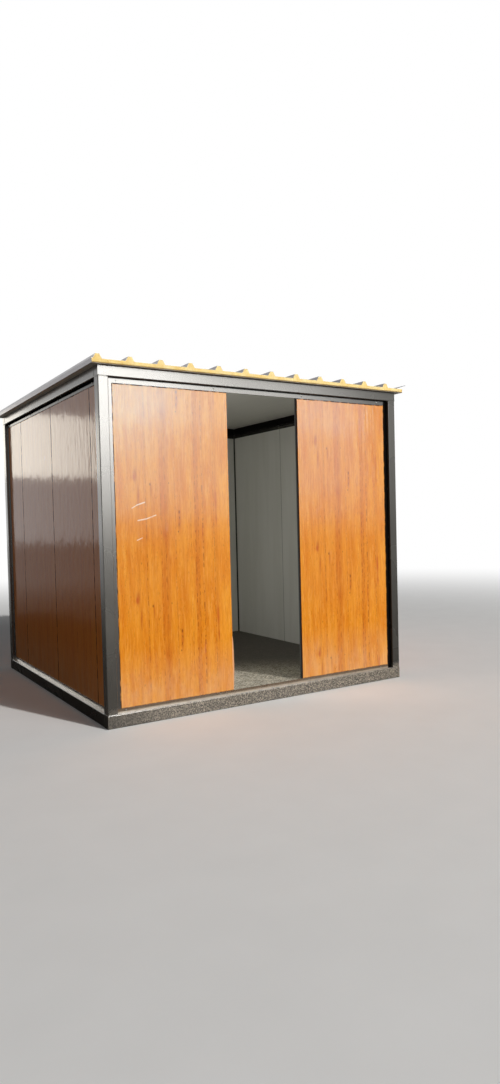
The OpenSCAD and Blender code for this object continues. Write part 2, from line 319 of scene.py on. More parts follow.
# Upright ovals, each with its middle across and up, its half width and its half height
KNOTS = [(0.550, 0.000, 0.009, 0.016), (0.541, -0.152, 0.006, 0.010), (0.310, 0.212, 0.009, 0.014),
         (0.552, -0.045, 0.004, 0.014), (0.546, -0.100, 0.004, 0.018), (0.467, 0.222, 0.004, 0.010)]
WHORLS = [(0.188, 0.282, 0.024, 0.070), (0.316, 0.160, 0.010, 0.080), (0.550, -0.060, 0.014, 0.130),
          (0.212, 0.120, 0.012, 0.110)]
RED_STREAKS = [(0.875, 0.090, 0.014, 0.105), (0.752, -0.180, 0.005, 0.120), (0.182, 0.262, 0.014, 0.034),
               (0.880, -0.060, 0.008, 0.070)]


def soft_bands(graph, across, bands):
    total = 0.0
    for middle, half, weight in bands:
        offset = graph.math("DIVIDE", graph.minus(across, middle), half)
        bell = graph.math("EXPONENT", graph.times(offset, offset, -1.0))
        total = graph.math("MULTIPLY_ADD", bell, weight, total)
    return total


def oval(graph, place, fine, mark):
    """1 at the middle of an oval mark, 0 at its rough rim and beyond."""
    across, up, half_across, half_up = mark
    turn = up / PRINT_RADIUS
    middle = (across, PRINT_RADIUS * math.cos(turn), PRINT_RADIUS * math.sin(turn))
    offset = graph.vector_math("SUBTRACT", place, middle)
    scaled = graph.vector_math("MULTIPLY", offset, (1 / half_across, 1 / half_up, 1 / half_up))
    far = graph.vector_math("LENGTH", scaled, output="Value")
    rough = graph.math("MULTIPLY_ADD", graph.minus(fine, 0.5), 0.9, far)
    return graph.smooth(rough, 0.15, 1.2, 1.0, 0.0)


def oak_print():
    """A node group that gives the print's colour and height. It runs round a ring, to repeat up the panel."""
    group = bpy.data.node_groups.new("oak_print", "ShaderNodeTree")
    sockets = (("Across", "INPUT", "Float"), ("Up", "INPUT", "Float"), ("Contrast", "INPUT", "Float"),
               ("Color", "OUTPUT", "Color"), ("Height", "OUTPUT", "Float"))
    for name, side, kind in sockets:
        group.interface.new_socket(name=name, in_out=side, socket_type="NodeSocket" + kind)
    graph = Graph(group)
    given = graph.add("NodeGroupInput", {}).outputs
    contrast = given["Contrast"]
    angle = graph.math("DIVIDE", given["Up"], PRINT_RADIUS)
    ring_x = graph.times(graph.math("COSINE", angle), PRINT_RADIUS)
    ring_y = graph.times(graph.math("SINE", angle), PRINT_RADIUS)
    wander = graph.noise(graph.vector(given["Across"], ring_x, ring_y), (3, 5, 5), 2)
    across = graph.math("MULTIPLY_ADD", graph.minus(wander, 0.5), PRINT_WANDER, given["Across"])
    place = graph.vector(across, ring_x, ring_y)

    broad = graph.noise(place, (9, 1.6, 1.6), 2)
    colour = graph.mix(graph.smooth(broad, 0.3, 0.7), (230, 140, 26), (240, 156, 44))
    for rate, climb, low, high, weight, tone in GRAIN_LINES:
        lines = graph.noise(place, (rate, climb, climb), 3, 0.55)
        colour = graph.mix(graph.smooth(lines, low, high, 0, weight), colour, tone)

    strength = graph.noise(place, (34, 7, 7), 4, 0.6)
    streak = graph.times(soft_bands(graph, across, STREAKS), graph.smooth(strength, 0.30, 0.66, 0.50, 1.15),
                         graph.smooth(contrast, 0.0, 1.0, 0.7, 1.0))
    colour = graph.mix(streak, colour, (200, 98, 14))
    broken = graph.noise(place, (60, 24, 24), 4, 0.6)
    dash = graph.times(soft_bands(graph, across, DASHES), graph.smooth(broken, 0.46, 0.58), contrast)
    colour = graph.mix(dash, colour, (166, 76, 4))

    fine = graph.noise(place, (380, 16, 16), 2)
    colour = graph.mix(graph.smooth(fine, 0.52, 0.80, 0, 0.18), colour, (190, 100, 22))
    band = graph.noise(place, (16, 1.2, 1.2), 2)
    pores = graph.noise(place, (300, 34, 34), 1)
    pore = graph.times(graph.smooth(pores, 0.62, 0.72), graph.smooth(band, 0.42, 0.60), contrast)
    colour = graph.mix(graph.times(pore, 0.6), colour, (160, 76, 4))

    weak_knots = graph.times(graph.smooth(contrast, 0.0, 1.0, 0.35, 1.0), 0.80)
    kinds = ((WHORLS, graph.smooth(fine, 0.35, 0.60, 0.3, 0.75), (186, 82, 22)),
             (RED_STREAKS, graph.times(contrast, 0.62), (192, 68, 24)), (KNOTS, weak_knots, (128, 56, 2)))
    for marks, weight, tone in kinds:
        for mark in marks:
            colour = graph.mix(graph.times(oval(graph, place, fine, mark), weight), colour, tone)

    height = graph.minus(fine, graph.times(pore, 0.8))
    graph.add("NodeGroupOutput", {"Color": colour, "Height": height})
    return group


# Walls, each with its direction across, seen from outside, and its direction outward
WALLS = {
    "front": (Vector((1, 0, 0)), Vector((0, -1, 0))),
    "right": (Vector((0, 1, 0)), Vector((1, 0, 0))),
    "back": (Vector((-1, 0, 0)), Vector((0, 1, 0))),
    "left": (Vector((0, -1, 0)), Vector((-1, 0, 0))),
}
# Wall panels: what shows at each depth from the outer face, in metres
SKIN = 1 * MM
FILM_FOLD = 19 * MM
FOAM_END = 23 * MM
INNER_RIB = 0.05
SPLASH_REACH = 0.46
# The walls' upper part, where the print is painted weaker as a painted haze of mirrored light
HAZE_START = 1.1
HAZE_END = 2.3
HAZE_CONTRAST = 0.45
# The reach of the grime and painted shade along a panel's borders, and the rate and depth of its uneven gloss
FRONT_LOOK = ((6 * MM, 9 * MM), (28, 28, 2.5), 1.5 * MM)
OTHER_LOOK = ((4 * MM, 7 * MM), (18, 18, 6.5), 4.1 * MM)
# Each film with its specular level and tint, and the weight of its clear coat
FILM_GLOSS = {"front_panel_left": (0.52, (0.20, 0.82, 1.0, 1.0), 0.06),
              "front_panel_right": (0.62, (0.08, 0.72, 1.0, 1.0), 0.06)}
OTHER_GLOSS = (0.0, (1.0, 1.0, 1.0, 1.0), 0.70)
PRINT_SHIFTS = {"front_panel_left": (0.005, 0.662), "front_panel_right": (0.0, 0.987)}
PRINT_STEP = 0.31
# Rubbed lines, each with its start and end and its half width in millimetres
SCRATCHES = [((0.160, 1.622), (0.200, 1.644), 5.95), ((0.200, 1.644), (0.262, 1.664), 7.65),
             ((0.205, 1.528), (0.270, 1.538), 7.65), ((0.270, 1.538), (0.353, 1.566), 6.80),
             ((0.195, 1.380), (0.236, 1.396), 5.10)]


def seen_from_wall(wall, name):
    """The wall's two directions, a node's inner and outer face, and its left and right end."""
    across, outward = WALLS[wall]
    low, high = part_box(name)
    faces = sorted((outward.dot(low), outward.dot(high)))
    ends = sorted((across.dot(low), across.dot(high)))
    return across, outward, faces, ends


def inside_edges(graph, across, start, end):
    """How far a place lies inside the nearer of two upright edges."""
    return graph.math("MINIMUM", graph.minus(across, start), graph.minus(end, across))


def scratch_mask(graph, across, up):
    """Pale rubbed lines on the film, worn through in short dashes."""
    place = graph.vector(across, up, 0.0)
    total = 0.0
    for start, end, half in SCRATCHES:
        line = Vector((end[0] - start[0], end[1] - start[1], 0))
        offset = graph.vector_math("SUBTRACT", place, (*start, 0))
        along = graph.vector_math("DOT_PRODUCT", offset, line / line.length_squared, "Value")
        part = graph.math("MULTIPLY", along, 1.0, clamp=True)
        nearest = graph.add("ShaderNodeVectorMath", {0: line, "Scale": part}, operation="SCALE").outputs[0]
        gap = graph.vector_math("DISTANCE", offset, nearest, "Value")
        total = graph.math("MAXIMUM", graph.smooth(gap, 0.0, half * MM, 1.0, 0.0), total)
    rough = graph.noise(place, (40, 260, 1), 3)
    return graph.times(total, graph.smooth(rough, 0.32, 0.54, 0.30, 1.0))


def film_colour(graph, name, place, across, z, smudge, print_group):
    """The printed film with scratches, smudges and splashed dust, and the print's height."""
    if name in PRINT_SHIFTS:
        shift_across, shift_up = PRINT_SHIFTS[name]
    else:
        shift_across, shift_up = 0.0, PRINT_STEP * int(name[-1])
    print_across = graph.minus(across, shift_across)
    # Painted reflection: the print's contrast falls towards the top
    inputs = {"Across": print_across, "Up": graph.minus(z, shift_up),
              "Contrast": graph.smooth(z, HAZE_START, HAZE_END, 1.0, HAZE_CONTRAST)}
    printed = graph.add("ShaderNodeGroup", inputs, node_tree=print_group).outputs
    film = printed["Color"]
    if not name.startswith("front"):
        film = graph.mix(0.55, film, (250, 140, 66))
    if name == "front_panel_left":
        film = graph.mix(scratch_mask(graph, print_across, z), film, (255, 230, 204))
    film = graph.mix(graph.smooth(smudge, 0.62, 0.80, 0, 0.14), film, (226, 205, 180))
    splash = graph.smooth(graph.noise(place, (14, 14, 5), 4, 0.6), 0.35, 0.65, 0.5, 1.0)
    dusty = graph.times(splash, graph.smooth(z, SILL_TOP, SILL_TOP + SPLASH_REACH, 0.30, 0.0))
    return graph.mix(dusty, film, (236, 200, 160)), printed["Height"]


def film_grime_and_shade(graph, place, z, edge, reach):
    """Dark grime with painted shade on the sill and along the borders, broken here and there."""
    broken = graph.smooth(graph.noise(place, (30, 30, 14), 3), 0.36, 0.56, 0.35, 1.0)
    on_sill = graph.smooth(z, SILL_TOP + 1 * MM, SILL_TOP + 6 * MM, 0.75, 0.0)
    rim = graph.math("MINIMUM", edge, graph.minus(HEAD_EDGE, z))
    return graph.times(graph.math("MAXIMUM", on_sill, graph.smooth(rim, *reach, 0.95, 0.0)), broken)


def coat_colour(graph, wall, place, z, depth, thickness, edge):
    """The pale inner coating, with scuffs, dark joints, painted shade on its edge lip and, but for the front
    wall, painted shade along the top.
    """
    tone = graph.noise(place, (6, 6, 0.6), 3)
    coat = graph.mix(graph.smooth(tone, 0.35, 0.65), (214, 213, 204), (221, 220, 212))
    scuff = graph.noise(place, (9, 9, 14), 5, 0.7)
    coat = graph.mix(graph.smooth(scuff, 0.66, 0.78, 0, 0.35), coat, (168, 160, 146))
    # Painted shade: the coating's lip at the panel edges is darkened
    coat = graph.mix(graph.math("LESS_THAN", depth, thickness - SKIN), coat, (126, 118, 118))
    coat = graph.mix(graph.smooth(edge, 1.5 * MM, 3 * MM, 0.7, 0.0), coat, (96, 94, 88))
    # Painted shade: under the top beams the coating goes near black
    if wall != "front":
        coat = graph.mix(graph.smooth(z, HEAD_EDGE - 3 * MM, HEAD_EDGE, 0.0, 0.97), coat, (24, 22, 20))
    return coat


def panel_material(name, print_group):
    """Film outside, folded film and foam at the edges, darkened there as painted shade, pale coating inside.
    """
    material, graph = new_material(name + "_finish")
    wall = name.split("_")[0]
    grime_and_shade_reach, pull_rate, pull_depth = FRONT_LOOK if wall == "front" else OTHER_LOOK
    across_axis, outward, (inner_face, outer_face), (left_end, _) = seen_from_wall(wall, name)
    face_points = [across_axis.dot(vertex.co) - left_end for vertex in cad[name].data.vertices
                   if outward.dot(vertex.co) > outer_face - 0.1 * MM]
    place, x, _, z = graph.position()
    across = graph.minus(graph.vector_math("DOT_PRODUCT", place, across_axis, "Value"), left_end)
    depth = graph.minus(outer_face, graph.vector_math("DOT_PRODUCT", place, outward, "Value"))
    edge = inside_edges(graph, across, min(face_points), max(face_points))
    border = inside_edges(graph, x, LEFT_STILE, RIGHT_STILE) if wall == "front" else edge

    smudge = graph.noise(place, (5, 5, 3), 4, 0.6)
    film, print_height = film_colour(graph, name, place, across, z, smudge, print_group)
    grime_and_shade = film_grime_and_shade(graph, place, z, border, grime_and_shade_reach)
    # Grime and painted shade: dark along the sill, under the head and beside the borders and joints, with
    # less gloss there
    film = graph.mix(grime_and_shade, film, (52, 30, 16))
    # Painted shade: the folded film and the foam at the panel edges are darkened
    film = graph.mix(graph.math("GREATER_THAN", depth, SKIN), film, (92, 50, 26))
    foam = graph.mix(graph.noise(place, 420.0, 2), (120, 90, 44), (160, 126, 66))
    coat = coat_colour(graph, wall, place, z, depth, outer_face - inner_face, edge)

    in_foam = graph.math("GREATER_THAN", depth, FILM_FOLD)
    inside = graph.math("GREATER_THAN", depth, FOAM_END)
    colour = graph.mix(inside, graph.mix(in_foam, film, foam), coat)
    roughness = graph.choose(in_foam, graph.smooth(smudge, 0.35, 0.75, 0.10, 0.16), 0.62)
    ribs = graph.math("SINE", graph.times(across, math.tau / INNER_RIB))
    height = graph.choose(inside, print_height, graph.smooth(ribs, -1.0, -0.6, 0.0, 0.05))
    waves = graph.bump(graph.noise(place, (5, 5, 1.3), 2), 0.15, 2 * MM)
    gloss_normal = graph.bump(graph.noise(place, pull_rate, 3), 0.5, pull_depth, waves)
    free_of_grime_and_shade = graph.minus(1.0, graph.times(grime_and_shade, graph.math("LESS_THAN", depth, FILM_FOLD)))
    level, tint, coat_weight = FILM_GLOSS.get(name, OTHER_GLOSS)
    graph.surface(Base_Color=colour, Roughness=roughness,
                  Normal=graph.bump(height, 0.05, 0.2 * MM, gloss_normal),
                  Specular_IOR_Level=graph.times(free_of_grime_and_shade, level), Specular_Tint=tint,
                  Coat_Weight=graph.times(free_of_grime_and_shade, coat_weight), Coat_Roughness=0.10,
                  Coat_Normal=gloss_normal)
    return material


# Paint of the steel. A surface faces left or to the front where its normal's x or y is below FACING.
FACING = -0.5
PAINT_TINT = (1.0, 0.96, 0.88, 1.0)
COAT_ROUGHNESS = 0.17
FOOT_REACH = 60 * MM
# Width of the painted shade on the flange beside the right post
RIGHT_SHADE_WIDTH = 40 * MM


def lighter(tone, step):
    return tuple(channel + step for channel in tone)


def dust_amount(graph, x, z, facing, speck, rain, at_foot):
    """How much dust lies near the ground, less of it towards the left, almost none on faces turned left,
    which stay dark as painted shade, and on ledges.
    """
    # Faces turned left keep almost no dust, so they stay dark as painted shade
    foot = graph.times(graph.smooth(z, BEAM_TOP - 5 * MM, BEAM_TOP + FOOT_REACH, at_foot, 0.0),
                       graph.smooth(facing[0], -0.9, -0.5, 0.05, 1.0),
                       graph.smooth(x, FRAME_LOW.x, FRAME_LOW.x + 0.6, 0.35, 1.0))
    ledge = graph.smooth(facing[2], 0.55, 0.95, 0.0, 0.8)
    return graph.times(graph.math("MAXIMUM", foot, ledge), graph.smooth(rain, 0.25, 0.68, 0.65, 1.0),
                       graph.smooth(speck, 0.42, 0.56, 0.10, 1.0))


def pale_top_edge(graph, z, rain):
    """A paler broken line along the top edge of the bottom beams."""
    return graph.times(graph.smooth(z, BEAM_TOP - 7 * MM, BEAM_TOP - 2 * MM),
                       graph.math("LESS_THAN", z, BEAM_TOP + 0.5 * MM),
                       graph.smooth(rain, 0.42, 0.60, 0.1, 0.5))


def sill_soil(graph, colour, z, speck, rain):
    """Brown soil on the sill angles, palest along their foot."""
    on_sill = graph.math("LESS_THAN", z, SILL_TOP + 1 * MM)
    tinge = graph.times(on_sill, graph.smooth(speck, 0.30, 0.60, 0.25, 0.55))
    colour = graph.mix(tinge, colour, (118, 90, 58))
    pale = graph.times(graph.smooth(z, BEAM_TOP + 11 * MM, BEAM_TOP + 17 * MM, 0.8, 0.0),
                       graph.smooth(rain, 0.25, 0.55, 0.5, 1.0))
    return graph.mix(pale, colour, (164, 150, 132))


def border_painted_shade(graph, x, z, facing):
    """Painted shade where an angle border lies in the frame's shadow: at the right of the front, under the
    top beam, and left.
    """
    start = FRAME_HIGH.x - POST_SIDE - RIGHT_SHADE_WIDTH
    beside = graph.times(graph.smooth(x, start, start + 6 * MM), graph.math("LESS_THAN", facing[1], FACING))
    under_beam = graph.smooth(z, HEAD_LEVEL - 9 * MM, HEAD_LEVEL - 6 * MM, 0.0, 0.9)
    middle = (HEAD_EDGE + HEAD_LEVEL) / 2
    left_head = graph.times(graph.math("LESS_THAN", facing[0], FACING),
                            graph.smooth(z, middle - 2 * MM, middle + 2 * MM, 0.6, 1.0),
                            graph.math("GREATER_THAN", z, HEAD_EDGE - 1 * MM))
    return graph.math("MAXIMUM", beside, graph.math("MAXIMUM", under_beam, left_head))


# Painted shade: inside the room the frame paint is darkened to near black and loses its gloss
def painted_indoor_shade(graph, x, y):
    from_middle_x = graph.math("ABSOLUTE", graph.minus(x, ROOM_MIDDLE.x))
    from_middle_y = graph.math("ABSOLUTE", graph.minus(y, ROOM_MIDDLE.y))
    return graph.math("LESS_THAN", graph.math("MAXIMUM", from_middle_x, from_middle_y), ROOM_HALF + 1 * MM)


def paint_material(name, base, gloss, dust, lacquer):
    """Brushed-on anthracite enamel, dusty near the ground and on ledges, chipped here and there, with painted
    shade on low faces turned left, indoors and on the shaded angle borders.
    """
    material, graph = new_material(name)
    place, x, y, z = graph.position()
    facing = graph.facing()
    patches = graph.noise(place, 2.0, 3)
    brush = graph.noise(place, (150, 150, 2.0), 2)
    speck = graph.noise(place, 95.0, 4, 0.75)
    rain = graph.noise(place, (20, 20, 9), 4, 0.65)
    colour = graph.mix(graph.smooth(patches, 0.35, 0.70), base, lighter(base, 6))
    colour = graph.mix(graph.smooth(brush, 0.55, 0.85, 0, 0.18), colour, lighter(base, 22))
    amount = dust_amount(graph, x, z, facing, speck, rain, dust)
    dusty = graph.mix(graph.smooth(speck, 0.44, 0.60), (108, 98, 86), (196, 182, 162))
    colour = graph.mix(amount, colour, dusty)
    chip = graph.smooth(graph.noise(place, 60.0, 5, 0.7), 0.745, 0.760)
    colour = graph.mix(graph.times(chip, 0.7), colour, (170, 165, 155))

    # Painted shade: low faces turned left are darkened to near black and lose their gloss
    shaded_low_side = graph.times(graph.math("LESS_THAN", z, BEAM_TOP),
                           graph.smooth(facing[0], -0.9, -0.5, 0.75, 0.0))
    shades = [(shaded_low_side, (20, 18, 16))]
    if name == "frame_paint":
        colour = graph.mix(pale_top_edge(graph, z, rain), colour, (168, 160, 146))
        shades.append((painted_indoor_shade(graph, x, y), (22, 21, 20)))
    if name == "angle_paint":
        colour = sill_soil(graph, colour, z, speck, rain)
        # Painted shade: the angle borders go near black, without gloss, where the frame shades them
        shades.insert(0, (border_painted_shade(graph, x, z, facing), (16, 15, 14)))
    high_side = graph.times(graph.math("LESS_THAN", facing[0], FACING), graph.smooth(z, 1.3, 2.1, 0.0, 0.52))
    shine = graph.times(graph.smooth(x, 0.0, FRAME_HIGH.x - 0.1, 1.0, 0.40), graph.minus(1.0, high_side))
    for shade, tone in shades:
        colour = graph.mix(shade, colour, tone)
        shine = graph.times(shine, graph.minus(1.0, shade))

    roughness = graph.smooth(patches, 0.3, 0.75, gloss, gloss + 0.06)
    roughness = graph.math("MULTIPLY_ADD", amount, 0.45, roughness, clamp=True)
    peel = graph.math("ADD", graph.noise(place, 160.0, 2), graph.times(brush, 0.7))
    normal = graph.bump(graph.noise(place, (7, 7, 2), 2), 0.15, 2 * MM)
    normal = graph.bump(peel, 0.08, 0.3 * MM, normal)
    normal = graph.bump(graph.times(speck, amount), 0.30, 0.6 * MM, normal)
    graph.surface(Base_Color=colour, Roughness=roughness, Normal=normal, Specular_IOR_Level=shine,
                  Specular_Tint=PAINT_TINT, Coat_Weight=graph.times(shine, lacquer),
                  Coat_Roughness=COAT_ROUGHNESS)
    return material


def foam_material():
    """Cut face of rigid foam: yellow, with open cells and knife marks, and painted shade along its foot."""
    material, graph = new_material("foam")
    place, _, _, z = graph.position()
    cells = graph.cells(place, 420.0)
    marks = graph.noise(place, (70, 70, 9), 4, 0.65)
    patch = graph.noise(place, 11.0, 4, 0.6)
    colour = graph.mix(graph.smooth(patch, 0.32, 0.68), (248, 214, 134), (254, 230, 164))
    colour = graph.mix(graph.smooth(marks, 0.56, 0.74, 0, 0.5), colour, (232, 186, 100))
    colour = graph.mix(graph.smooth(cells, 0.5, 0.9, 0, 0.4), colour, (220, 172, 90))
    # Painted shade: the foot of the foam is darkened to brown
    shaded_foot = graph.smooth(z, FOAM_LOW + 2 * MM, FOAM_LOW + 12 * MM, 0.9, 0.0)
    colour = graph.mix(shaded_foot, colour, (104, 72, 34))
    height = graph.math("MULTIPLY_ADD", cells, -0.7, marks)
    graph.surface(Base_Color=colour, Roughness=0.82, Normal=graph.bump(height, 0.5, 1.2 * MM),
                  Specular_IOR_Level=0.25)
    return material


VALLEY_LEVEL = FRAME_HIGH.z + 36 * MM
CREST_LEVEL = FRAME_HIGH.z + 62 * MM


def roof_material():
    """Mid-grey coated roof sheet with dust lying in the valleys and dried rain spots."""
    material, graph = new_material("roof_sheet")
    place, _, _, z = graph.position()
    patches = graph.noise(place, 2.2, 4, 0.6)
    colour = graph.mix(patches, (124, 122, 125), (140, 138, 141))
    lies = graph.smooth(graph.facing()[2], 0.6, 0.95)
    low = graph.smooth(z, VALLEY_LEVEL, CREST_LEVEL, 1.0, 0.35)
    film = graph.noise(place, (9, 1.1, 9), 5, 0.65)
    amount = graph.times(lies, low, graph.smooth(film, 0.35, 0.70, 0.15, 0.85))
    grit = graph.noise(place, 260.0, 2)
    colour = graph.mix(amount, colour, graph.mix(grit, (120, 112, 98), (156, 147, 130)))
    ring = graph.smooth(graph.cells(place, 38.0), 0.10, 0.16, 0.22, 0.0)
    colour = graph.mix(graph.times(ring, lies), colour, (170, 166, 156))
    satin = graph.smooth(patches, 0.3, 0.7, 0.26, 0.38)
    roughness = graph.math("MULTIPLY_ADD", amount, 0.4, satin, clamp=True)
    normal = graph.bump(graph.noise(place, (8, 1.5, 8), 2), 0.25, 2 * MM)
    normal = graph.bump(grit, 0.12, 0.3 * MM, normal)
    graph.surface(Base_Color=colour, Roughness=roughness, Normal=normal,
                  Metallic=graph.smooth(amount, 0.0, 0.6, 0.85, 0.0))
    return material


CEILING_RIB = 0.1


def ceiling_material():
    """Satin pale paint on the flat inner skin of the roof, with fine ribs."""
    material, graph = new_material("ceiling")
    place, x, _, _ = graph.position()
    colour = graph.mix(graph.noise(place, (12, 0.8, 1), 3), (212, 210, 200), (224, 222, 213))
    scuff = graph.noise(place, 6.0, 5, 0.7)
    colour = graph.mix(graph.smooth(scuff, 0.64, 0.78, 0, 0.25), colour, (176, 170, 156))
    ribs = graph.math("SINE", graph.times(x, math.tau / CEILING_RIB))
    normal = graph.bump(graph.smooth(ribs, -1.0, -0.7), 0.2, 0.4 * MM)
    graph.surface(Base_Color=colour, Roughness=0.42, Normal=normal)
    return material


DOORWAY_FOOT = (-0.04, -1.45, 0.12)
TRODDEN_NEAR = 0.45
TRODDEN_FAR = 1.3


def floor_board_material():
    """Dark-faced boards under dust and trodden soil, most of it near the doorway."""
    material, graph = new_material("floor_board")
    place = graph.position()[0]
    grain = graph.noise(place, (160, 5, 60), 4, 0.6)
    colour = graph.mix(grain, (46, 39, 33), (62, 54, 46))
    from_door = graph.vector_math("DISTANCE", place, DOORWAY_FOOT, "Value")
    near_door = graph.smooth(from_door, TRODDEN_NEAR, TRODDEN_FAR, 1.0, 0.10)
    soil = graph.noise(place, 9.0, 6, 0.7)
    crumbs = graph.noise(place, 70.0, 4, 0.75)
    amount = graph.times(graph.smooth(soil, 0.30, 0.62, 0.60, 1.0), near_door)
    dusty = graph.mix(graph.smooth(crumbs, 0.40, 0.60), (122, 114, 98), (226, 217, 196))
    colour = graph.mix(amount, colour, dusty)
    dark = graph.smooth(crumbs, 0.60, 0.70, 0, 0.4)
    colour = graph.mix(graph.times(dark, near_door), colour, (74, 64, 50))
    pale = graph.smooth(graph.noise(place, 210.0, 2), 0.66, 0.74, 0, 0.7)
    colour = graph.mix(graph.times(pale, near_door), colour, (214, 204, 184))
    normal = graph.bump(graph.times(crumbs, amount), 0.6, 2 * MM)
    normal = graph.bump(grain, 0.2, 0.5 * MM, normal)
    graph.surface(Base_Color=colour, Roughness=graph.smooth(amount, 0, 1, 0.5, 0.85), Normal=normal)
    return material


def metal_material(name, dark, light, metallic, roughness):
    """Bare or plated metal with small tarnished patches."""
    material, graph = new_material(name)
    place = graph.position()[0]
    patch = graph.noise(place, 320.0, 4, 0.65)
    normal = graph.bump(graph.noise(place, 900.0, 2), 0.2, 0.2 * MM)
    graph.surface(Base_Color=graph.mix(patch, dark, light), Metallic=metallic, Normal=normal,
                  Roughness=graph.smooth(patch, 0.3, 0.7, roughness, roughness + 0.2))
    return material


class Shape:
    """Points and faces of one piece, gathered from many small forms."""

    def __init__(self):
        self.points = []
        self.faces = []

    def add(self, points, faces):
        first = len(self.points)
        self.points.extend(points)
        self.faces.extend(tuple(first + i for i in face) for face in faces)

    def loft(self, rings):
        """A closed skin over rings with the same number of points, with a flat cap at each end."""
        count = len(rings[0])
        faces = [tuple(reversed(range(count)))]
        for level in range(len(rings) - 1):
            for i in range(count):
                after = (i + 1) % count
                low, high = level * count, (level + 1) * count
                faces.append((low + i, low + after, high + after, high + i))
        faces.append(tuple((len(rings) - 1) * count + i for i in range(count)))
        self.add([point for ring in rings for point in ring], faces)

    def slab(self, front, back, rows, flip=False):
        """A closed skin over two grids of points, each given column by column, and the rim between them."""
        columns = len(front) // rows
        total = len(front)
        faces = []
        for i in range(columns - 1):
            for j in range(rows - 1):
                a, b = i * rows + j, (i + 1) * rows + j
                faces.append((a, b, b + 1, a + 1))
                faces.append((total + a, total + a + 1, total + b + 1, total + b))
        rim = [i * rows for i in range(columns)]
        rim += [(columns - 1) * rows + j for j in range(1, rows)]
        rim += [i * rows + rows - 1 for i in range(columns - 2, -1, -1)]
        rim += list(range(rows - 2, 0, -1))
        for here, after in zip(rim, rim[1:] + rim[:1]):
            faces.append((after, here, total + here, total + after))
        if flip:
            faces = [tuple(reversed(face)) for face in faces]
        self.add(front + back, faces)

    def piece(self, name, material, smooth_angle=40):
        """Makes the finished object, riding on the cabin's only body."""
        mesh = bpy.data.meshes.new(name)
        mesh.from_pydata(self.points, [], self.faces)
        mesh.validate()
        mesh.materials.append(material)
        made = bpy.data.objects.new(name, mesh)
        bpy.context.scene.collection.objects.link(made)
        mesh.shade_smooth()
        mesh.set_sharp_from_angle(angle=math.radians(smooth_angle))
        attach(made, "root")


def wobble(place, frequency):
    """A repeatable uneven value between about -1 and 1."""
    return noise.noise(place * frequency)


BEAD_STEP = 2.0 * MM
BEAD_RIPPLE = 4.5 * MM
BEAD_SIDES = 7
BEAD_WIDTH = 7 * MM
BEAD_RISE = 1.6 * MM
BEAD_SINK = 0.6 * MM
FILLET_WIDTH = 9 * MM
LEVEL_INSET = 5 * MM
UPRIGHT_INSET = 8 * MM


def weld_bead(shape, start, end, outward, width=BEAD_WIDTH, rise=BEAD_RISE):
    """A rippled bead along a straight joint, with rounded ends, half sunk in the steel."""
    start, end, outward = Vector(start), Vector(end), Vector(outward).normalized()
    along = (end - start).normalized()
    side = along.cross(outward)
    length = (end - start).length
    steps = max(6, round(length / BEAD_STEP))
    rings = []
    for step in range(steps + 1):
        travelled = length * step / steps
        middle = start + along * travelled
        to_end = min(travelled, length - travelled)
        taper = min(1.0, 0.25 + to_end / (width * 0.8))
        ripple = 0.82 + 0.18 * abs(math.sin(math.pi * travelled / BEAD_RIPPLE))
        swell = 1 + 0.22 * wobble(middle, 60)
        middle = middle + side * (0.10 * width * wobble(middle, 35))
        half = width / 2 * taper * (0.9 + 0.1 * ripple) * swell
        height = rise * taper * ripple * swell
        foot = middle - outward * BEAD_SINK
        ring = [foot + side * half, foot - side * half]
        for corner in range(1, BEAD_SIDES):
            turn = math.pi * (1 - corner / BEAD_SIDES)
            ring.append(middle + side * (half * math.cos(turn)) + outward * (height * math.sin(turn)))
        rings.append(ring)
    shape.loft(rings)


def bead_pair(shape, start, end, outward, inward):
    """A bead on the outer face of a tube, and a fillet opposite, on its inner face."""
    weld_bead(shape, start, end, outward)
    across = outward * -POST_SIDE
    weld_bead(shape, start + across, end + across, inward, FILLET_WIDTH)


def corner_welds(material):
    """Beads where the tubes of the frame meet, on the four corners, outside and in the inner corners."""
    shape = Shape()
    uprights = ((UPRIGHT_INSET, BEAM_TOP - UPRIGHT_INSET),
                (HEAD_LEVEL + UPRIGHT_INSET, FRAME_HIGH.z - UPRIGHT_INSET))
    for x, side_x in ((FRAME_LOW.x, -1), (FRAME_HIGH.x, 1)):
        for y, side_y in ((FRAME_LOW.y, -1), (FRAME_HIGH.y, 1)):
            corner, out_x, out_y = Vector((x, y, 0)), Vector((side_x, 0, 0)), Vector((0, side_y, 0))
            for z, slope in ((BEAM_TOP, 1), (HEAD_LEVEL, -1)):
                for outward, beside in ((out_y, out_x), (out_x, out_y)):
                    insets = (LEVEL_INSET, POST_SIDE - LEVEL_INSET)
                    ends = [corner - beside * inset + UP * z for inset in insets]
                    bead_pair(shape, *ends, outward, UP * slope - outward)
            for levels in uprights:
                ends = [corner - out_y * POST_SIDE + UP * z for z in levels]
                bead_pair(shape, *ends, out_x, -out_x - out_y)
    shape.piece("corner_welds", material)


TACK_LENGTH = 18 * MM
TACK_WIDTH = 6 * MM
TACK_RISE = 2.2 * MM
TACK_PITCH = 0.43
TACK_SCATTER = 0.03


